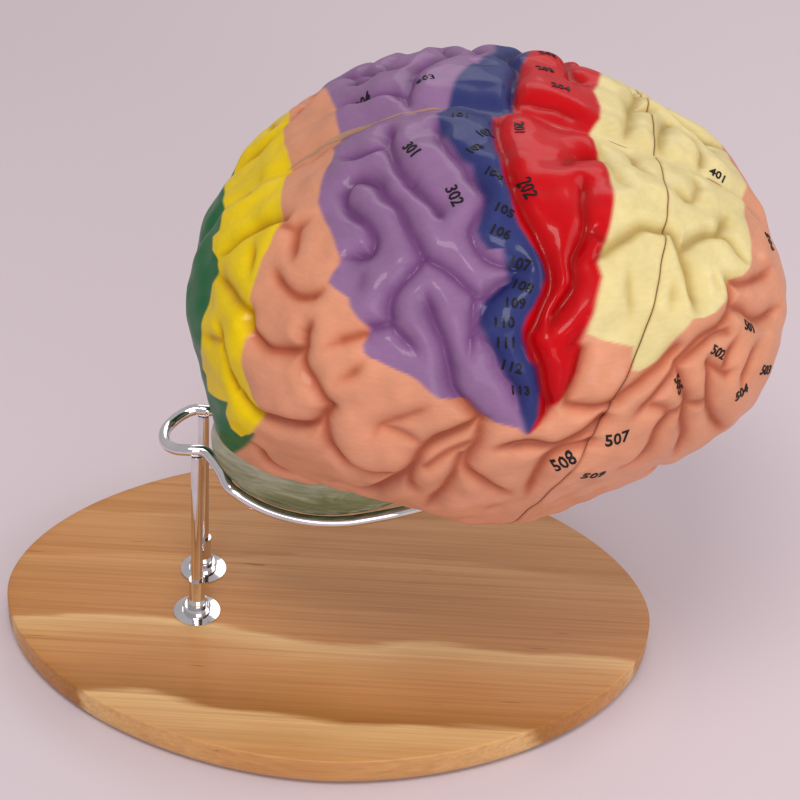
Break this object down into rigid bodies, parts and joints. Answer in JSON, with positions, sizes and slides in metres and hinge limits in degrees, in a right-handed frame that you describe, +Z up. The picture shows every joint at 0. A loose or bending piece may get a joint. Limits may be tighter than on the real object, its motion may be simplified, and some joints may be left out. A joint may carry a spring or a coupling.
{
  "type": "brain anatomy model",
  "caption": "Giant painted teaching model of a human brain in four lift-apart sections with a cerebellum, resting in a bent chromed rod stand on an oval wooden board.",
  "frame": {"origin": "middle of the oval board's underside", "axes": "+X towards the brain's front, +Y towards its left side, +Z up"},
  "size_m": [0.4168, 0.29, 0.3496],
  "materials": {
    "board_wood": "clear-lacquered light wood",
    "chrome": "bright chrome plate",
    "plain_steel": "plain turned steel",
    "rear_paint": "hand-painted hollow-cast resin under gloss varnish",
    "frontal_paint": "hand-painted hollow-cast resin under gloss varnish",
    "cerebellum_paint": "hand-painted hollow-cast resin under gloss varnish",
    "stem_paint": "hand-painted hollow-cast resin under gloss varnish"
  },
  "bodies": {
    "stand_and_rear": {"wooden_base": "board_wood", "right_leg": "chrome", "left_leg": "chrome", "leg_sleeves": "chrome", "flange_washers": "chrome", "collar_nuts": "chrome", "underside_washers": "plain_steel", "underside_nuts": "plain_steel", "saddle_loop": "chrome", "right_rear_section": "rear_paint", "left_rear_section": "rear_paint", "right_cerebellum": "cerebellum_paint", "left_cerebellum": "cerebellum_paint", "brainstem": "stem_paint", "right_frontal_pins": "plain_steel", "left_frontal_pins": "plain_steel", "midline_pins": "plain_steel", "cerebellum_pins": "plain_steel"},
    "right_frontal": {"right_frontal_section": "frontal_paint"},
    "left_frontal": {"left_frontal_section": "frontal_paint"}
  },
  "joints": [
    {"name": "right_frontal_slide", "type": "slide", "parent": "stand_and_rear", "child": "right_frontal", "axis": [1, 0, 0], "range_m": [0, 0.08]},
    {"name": "left_frontal_slide", "type": "slide", "parent": "stand_and_rear", "child": "left_frontal", "axis": [1, 0, 0], "range_m": [0, 0.08]}
  ]
}
